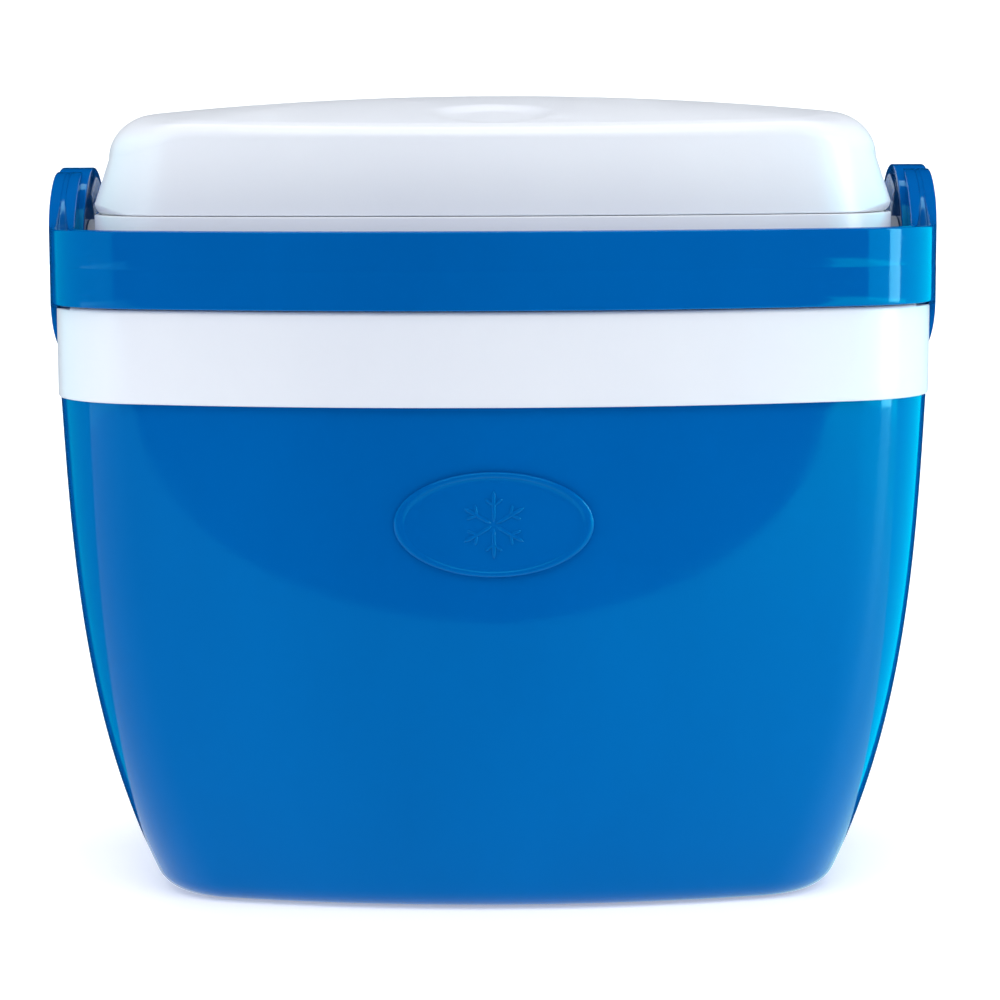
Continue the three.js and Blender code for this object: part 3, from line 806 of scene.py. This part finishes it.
def band_section(half, channel, pinch):
    """A band section as (out, up) points: an H with rounded edges and a fine parting groove.

    The channel is this deep at top and bottom, and pinch makes it narrower from both sides.
    """
    r, soft = BAND_EDGE_R, BAND_SOFT
    upper = [(-PARTING[0], 0.0), (0.0, PARTING[1]), (0.0, half * 0.35), (0.0, half * 0.7)]
    for t in np.linspace(0, math.pi / 2, 5):
        upper.append((-r * (1 - math.cos(t)), half - r * (1 - math.sin(t))))
    left, right = -BAND_SKIN - pinch, BAND_SKIN + pinch - BAND_T
    upper += [
        (left + soft, half),
        (left + BAND_SOFT_BULGE, half - BAND_SOFT_BULGE),
        (left, half - soft),
        (left, half - channel * 0.5),
        (left, half - channel + 0.2),
        (left - 0.5, half - channel),
        (right + 0.5, half - channel),
        (right, half - channel + 0.2),
        (right, half - channel * 0.5),
        (right, half - soft),
        (right - BAND_SOFT_BULGE, half - BAND_SOFT_BULGE),
        (right - soft, half),
    ]
    for t in np.linspace(math.pi / 2, 0, 5):
        upper.append((-BAND_T + r * (1 - math.cos(t)), half - r * (1 - math.sin(t))))
    upper += [(-BAND_T, half * 0.7), (-BAND_T, half * 0.35), (-BAND_T, 0.0)]
    lower = [(u, -v) for u, v in upper[1:-1][::-1]]
    return np.array(upper + lower)


def handle_path():
    """Points along the band's outer face from the left hub round the front to the right one."""
    quarter = quarter_outline(HANDLE, 0.0, BAND_STEPS)
    quarter = quarter[quarter[:, 1] < -BAND_END_Y]
    left = quarter[1:][::-1] * (-1, 1)
    return np.concatenate([left, quarter])


def handle_band():
    path = handle_path()
    step = np.gradient(path, axis=0)
    step /= np.hypot(step[:, 0], step[:, 1])[:, None]
    outward = np.column_stack([step[:, 1], -step[:, 0]])
    sections = []
    for here, out in zip(path, outward):
        y = here[1]
        at_side = abs(here[0]) > BAND_SIDE_X
        near = smooth_step((y + FLARE_Y) / (FLARE_Y - HUB_R)) if at_side else 0.0
        pinch = (BAND_T / 2 - BAND_SKIN - CHANNEL_GAP) * near
        channel = CHANNEL_DEPTH * (1 - near) + CHANNEL_LEAST
        section = band_section(arm_half_height(y), channel, pinch)
        proud = HUB_PROUD * near
        flat = here + out * (section[:, :1] + proud * (section[:, :1] > -BAND_T / 2))
        sections.append(np.column_stack([flat, PIVOT_Z + section[:, 1]]))
    return loft(sections)


def hub(side):
    """A hub: a shallow hollow inside, a rounded rim and a round seat for the cap outside."""
    seat_x = CAP_INNER_X - 0.1
    profile = [
        (0.0, HUB_INNER_X),
        (HUB_R - 13.0, HUB_INNER_X, 1.0),
        (HUB_R - 4.0, HUB_RIM_X, 1.0),
        (HUB_R, HUB_RIM_X, 0.7),
        (HUB_R, HUB_EDGE_X, 1.1),
        (HUB_R - 16.0, HUB_OUTER_X - 0.8, 6.0),
        (CAP_R + GAP, HUB_OUTER_X, 0.7),
        (CAP_R + GAP, seat_x, 0.3),
        (0.0, seat_x),
    ]
    return turned(rounded(profile, 1.0), side, 128)


def hub_cover(side):
    """The cap over a pin's head, with a crowned face."""
    radius = CAP_R - 0.1
    profile = [
        (0.0, CAP_INNER_X),
        (radius, CAP_INNER_X, 0.3),
        (radius, CAP_OUTER_X - 0.8, 0.8),
        (CAP_R - 4.0, CAP_OUTER_X - 0.2, 2.0),
        (CAP_R - 9.0, CAP_OUTER_X, 2.0),
        (0.0, CAP_OUTER_X),
    ]
    return turned(rounded(profile, 0.6), side)


def join(parts):
    points, faces, start = [], [], 0
    for some_points, some_faces in parts:
        points.append(some_points)
        faces += [tuple(i + start for i in face) for face in some_faces]
        start += len(some_points)
    return np.concatenate(points), faces


def handle():
    points, faces = join([handle_band(), hub(1), hub(-1)])
    mesh_object("bail_handle", points, faces, "blue_plastic", "handle", replaces=["handle"])
    for word, side in (("right", 1), ("left", -1)):
        points, faces = hub_cover(side)
        name = f"hub_cover_{word}"
        mesh_object(
            name, points, faces, "blue_plastic", "handle", replaces=[f"hub_cap_{word}"]
        )


handle()


# ---- badge --------------------------------------------------------------------------------
def front_y(x, z):
    """The tub's front face at x and z."""
    t = (BODY_TOP_Z - z) / BODY_TOP_Z
    depth = BODY_TOP[1] - BODY_DRAFT[1] * t - BODY_CURVE[1] * np.clip(t, 0, None) ** 3
    return -depth + FRONT_BOW_R - np.sqrt(FRONT_BOW_R**2 - x**2)


def badge():
    """A plain oval plaque with a raised rim, standing a little proud of the front."""
    root = ((0.97, -BADGE_ROOT), (1.0, -BADGE_ROOT))
    t = 2 * math.pi * np.arange(96) / 96
    rings = []
    for share, stand in root + BADGE_RIM + BADGE_FIELD:
        x = BADGE_HALF[0] * share * np.cos(t)
        z = BADGE_Z + BADGE_HALF[1] * share * np.sin(t)
        rings.append(np.column_stack([x, front_y(x, z) - stand - GAP, z]))
    points, faces = loft(rings)
    mesh_object("plain_plaque", points, faces, "blue_plastic", "chest", replaces=["front_badge"])


badge()


def snow_bar(start, end, width, height):
    """A low rounded bar on the plaque, between two points of the front's x, z plane."""
    along = (end - start) / np.hypot(*(end - start))
    across = np.array([-along[1], along[0]])
    rings = []
    for s in np.linspace(0, 1, 9):
        taper = math.sqrt(max(1 - abs(2 * s - 1) ** 6, 0.02))
        centre = start + (end - start) * s
        row = []
        for t in np.linspace(0, math.pi, 7):
            x, z = centre + across * (width / 2 * taper * math.cos(t))
            lift = SNOW_LIFT + height * taper * math.sin(t)
            row.append((x, front_y(x, z + BADGE_Z) - lift - GAP, z + BADGE_Z))
        row += [(x, y + SNOW_ROOT, z) for x, y, z in (row[-1], row[0])]
        rings.append(np.array(row))
    return loft(rings)


def heading(angle):
    return np.array([math.cos(angle), math.sin(angle)])


def snowflake():
    """Six arms from the middle of the plaque, each with a pair of twigs."""
    parts = []
    for k in range(6):
        angle = math.pi / 6 + k * math.pi / 3
        ray = heading(angle)
        parts.append(snow_bar(ray * SNOW_ARM[0], ray * SNOW_ARM[1], *SNOW_ARM_SIZE))
        for turn in (SNOW_TWIG_TURN, -SNOW_TWIG_TURN):
            fork = ray * SNOW_TWIG_AT
            tip = fork + heading(angle + turn) * SNOW_TWIG_LENGTH
            parts.append(snow_bar(fork, tip, *SNOW_TWIG_SIZE))
    points, faces = join(parts)
    mesh_object("plaque_snowflake", points, faces, "blue_plastic", "chest")


snowflake()


# ---- CAD nodes that stay ------------------------------------------------------------------
for entry in frame["record"]["subparts"]:
    node = frame["nodes"][entry["node"]]
    node.data.materials.clear()
    node.data.materials.append(MATERIALS[entry["material_slot"]])


# ---- stage --------------------------------------------------------------------------------
TABLE_FRONT_Y = -0.53  # the table's front edge, whose mirror image crosses the tub's front
TABLE_SPREAD = (0.5, 0.62)  # how fast that edge comes forward to the left and the right,
TABLE_POWER = 1.5  # with this power of the distance from the middle
TABLE_BACK_Y = 0.0  # where the table is joined by the backdrop's paper
TABLE_HALF_W = 2.4
COVE_START_Y = 1.3
COVE_R = 0.9
COVE_TOP_Z = 3.2
GLOW_LIFT = 0.001  # the mirrored glow lies this far above the table
GLOW_SPAN_X = (0.05, 1.2)  # it grows from the left colour to the right one between these
GLOW_COLOURS = ((0.8, 0.9, 1.0), (0.0, 3.0, 2.6))


def stage_material():
    """A pale paper sweep with a faint mottle. A little light of its own keeps it even."""
    n = Nodes("stage_paper")
    tone = n.spread(n.noise(3.0, 2.0), 0.3, 0.7, 0.0, 1.0)
    n.link(n.blend(tone, (0.88, 0.88, 0.885), (0.9, 0.9, 0.905)), n.shader.inputs["Base Color"])
    n.shader.inputs["Roughness"].default_value = 0.7
    n.shader.inputs["Specular IOR Level"].default_value = 0.1
    n.shader.inputs["Emission Color"].default_value = (1.0, 1.0, 1.0, 1.0)
    n.shader.inputs["Emission Strength"].default_value = 0.34
    return n.material


STAGE_PAPER = stage_material()


def glow_material():
    """Light that only the glossy plastic mirrors: faint at the left, bright at the right."""
    n = Nodes("table_glow")
    split = n.add("ShaderNodeSeparateXYZ")
    n.link(n.place, split.inputs["Vector"])
    rise = n.spread(split.outputs["X"], *GLOW_SPAN_X, 0.0, 1.0)
    shade = n.blend(rise, *GLOW_COLOURS)
    n.link(shade, n.shader.inputs["Emission Color"])
    n.shader.inputs["Emission Strength"].default_value = 1.0
    n.shader.inputs["Base Color"].default_value = (0.0, 0.0, 0.0, 1.0)
    return n.material


def stage_sheet(name, rows, material):
    """A sheet through rows of points."""
    points = [tuple(map(float, point)) for row in rows for point in row]
    w = len(rows[0])
    faces = [
        (k * w + i, k * w + i + 1, (k + 1) * w + i + 1, (k + 1) * w + i)
        for k in range(len(rows) - 1)
        for i in range(w - 1)
    ]
    mesh = bpy.data.meshes.new(name)
    mesh.from_pydata(points, [], faces)
    mesh.shade_smooth()
    mesh.materials.append(material)
    piece = bpy.data.objects.new(name, mesh)
    bpy.context.collection.objects.link(piece)
    return piece


def sweep():
    """The table, curving up behind the chest into a plain backdrop."""
    across = np.linspace(-TABLE_HALF_W, TABLE_HALF_W, 41)
    near_y = [TABLE_FRONT_Y - TABLE_SPREAD[x > 0] * abs(x) ** TABLE_POWER for x in across]
    front = [(x, y, 0.0) for x, y in zip(across, near_y)]
    seam = [(x, TABLE_BACK_Y, 0.0) for x in across]
    stage_sheet("table", [front, seam], STAGE_PAPER)
    lifted = [[(x, y, GLOW_LIFT) for x, y, z in row] for row in (front, seam)]
    glow = stage_sheet("table_glow", lifted, glow_material())
    for kind in ("camera", "diffuse", "shadow", "transmission", "volume_scatter"):
        setattr(glow, f"visible_{kind}", False)
    rows = [seam, [(x, COVE_START_Y, 0.0) for x in across]]
    for t in np.linspace(0, math.pi / 2, 17)[1:]:
        y, z = COVE_START_Y + COVE_R * math.sin(t), COVE_R * (1 - math.cos(t))
        rows.append([(x, y, z) for x in across])
    rows.append([(x, COVE_START_Y + COVE_R, COVE_TOP_Z) for x in across])
    backdrop = stage_sheet("backdrop", rows, STAGE_PAPER)
    backdrop.visible_glossy = False  # the plastic mirrors the dim room, not the bright backdrop


sweep()


def area_light(name, place, target, size, power, colour=(1.0, 1.0, 1.0)):
    data = bpy.data.lights.new(name, "AREA")
    data.shape = "RECTANGLE"
    data.size, data.size_y = size
    data.energy = power
    data.color = colour
    light = bpy.data.objects.new(name, data)
    light.location = place
    aim = Vector(target) - Vector(place)
    light.rotation_euler = aim.to_track_quat("-Z", "Y").to_euler()
    bpy.context.collection.objects.link(light)
    return light


CARD_COLOUR = (0.0, 0.85, 0.95)


def mirror_card(name, place, size, radiance):
    """A bright card that shows only as a reflection in the glossy plastic."""
    power = radiance * math.pi * size[0] * size[1]
    level = (0.0, place[1], place[2])
    card = area_light(name, place, level, size, power, CARD_COLOUR)
    card.visible_diffuse = False
    card.visible_camera = False


CHEST_MIDDLE = (0, 0, 0.2)
CHEST_TOP = (0, 0, 0.3)
BACKDROP_MIDDLE = (0, 2.2, 0.8)


def lights():
    area_light("key_right", (1.65, -0.4, 0.55), CHEST_MIDDLE, size=(0.35, 1.1), power=10.0)
    fill = area_light("fill_left", (-1.7, -0.7, 0.6), CHEST_MIDDLE, size=(0.6, 1.2), power=8.0)
    fill.visible_glossy = False
    mirror_card("card_right", (1.7, 0.2, 0.15), size=(3.2, 3.0), radiance=2.8)
    mirror_card("card_left", (-1.7, 0.2, 0.15), size=(2.8, 3.0), radiance=1.0)
    area_light("overhead", (0.0, -1.2, 1.9), CHEST_TOP, size=(2.2, 1.0), power=17.0)
    area_light("backdrop_wash", (0.0, 0.6, 2.6), BACKDROP_MIDDLE, size=(3.0, 0.8), power=30.0)


lights()


WORLD_LEAN = (0.1, -0.5, 0.86)  # the room gets lighter in this direction: up and to the front
ROOM_DARK = (0.42, (0.0, 0.05, 0.10, 1.0))  # where on the way there, and its colour
ROOM_LIGHT = (0.85, (0.66, 0.67, 0.70, 1.0))


def world():
    """A dim room, dark behind the chest and lighter above and in front of it."""
    made = bpy.data.worlds.new("room")
    made.use_nodes = True
    tree = made.node_tree
    place = tree.nodes.new("ShaderNodeTexCoord")
    lean = tree.nodes.new("ShaderNodeVectorMath")
    lean.operation = "DOT_PRODUCT"
    lean.inputs[1].default_value = WORLD_LEAN
    ramp = tree.nodes.new("ShaderNodeValToRGB")
    for stop, (position, colour) in zip(ramp.color_ramp.elements, (ROOM_DARK, ROOM_LIGHT)):
        stop.position = position
        stop.color = colour
    half = tree.nodes.new("ShaderNodeMapRange")
    half.inputs["From Min"].default_value = -1.0
    half.inputs["From Max"].default_value = 1.0
    tree.links.new(place.outputs["Generated"], lean.inputs[0])
    tree.links.new(lean.outputs["Value"], half.inputs["Value"])
    tree.links.new(half.outputs["Result"], ramp.inputs["Fac"])
    tree.links.new(ramp.outputs["Color"], tree.nodes["Background"].inputs["Color"])
    tree.nodes["Background"].inputs["Strength"].default_value = 1.0
    made.cycles_visibility.glossy = False  # the gloss comes from the lights, cards and table
    bpy.context.scene.world = made


world()
bpy.context.scene.view_settings.view_transform = "Standard"
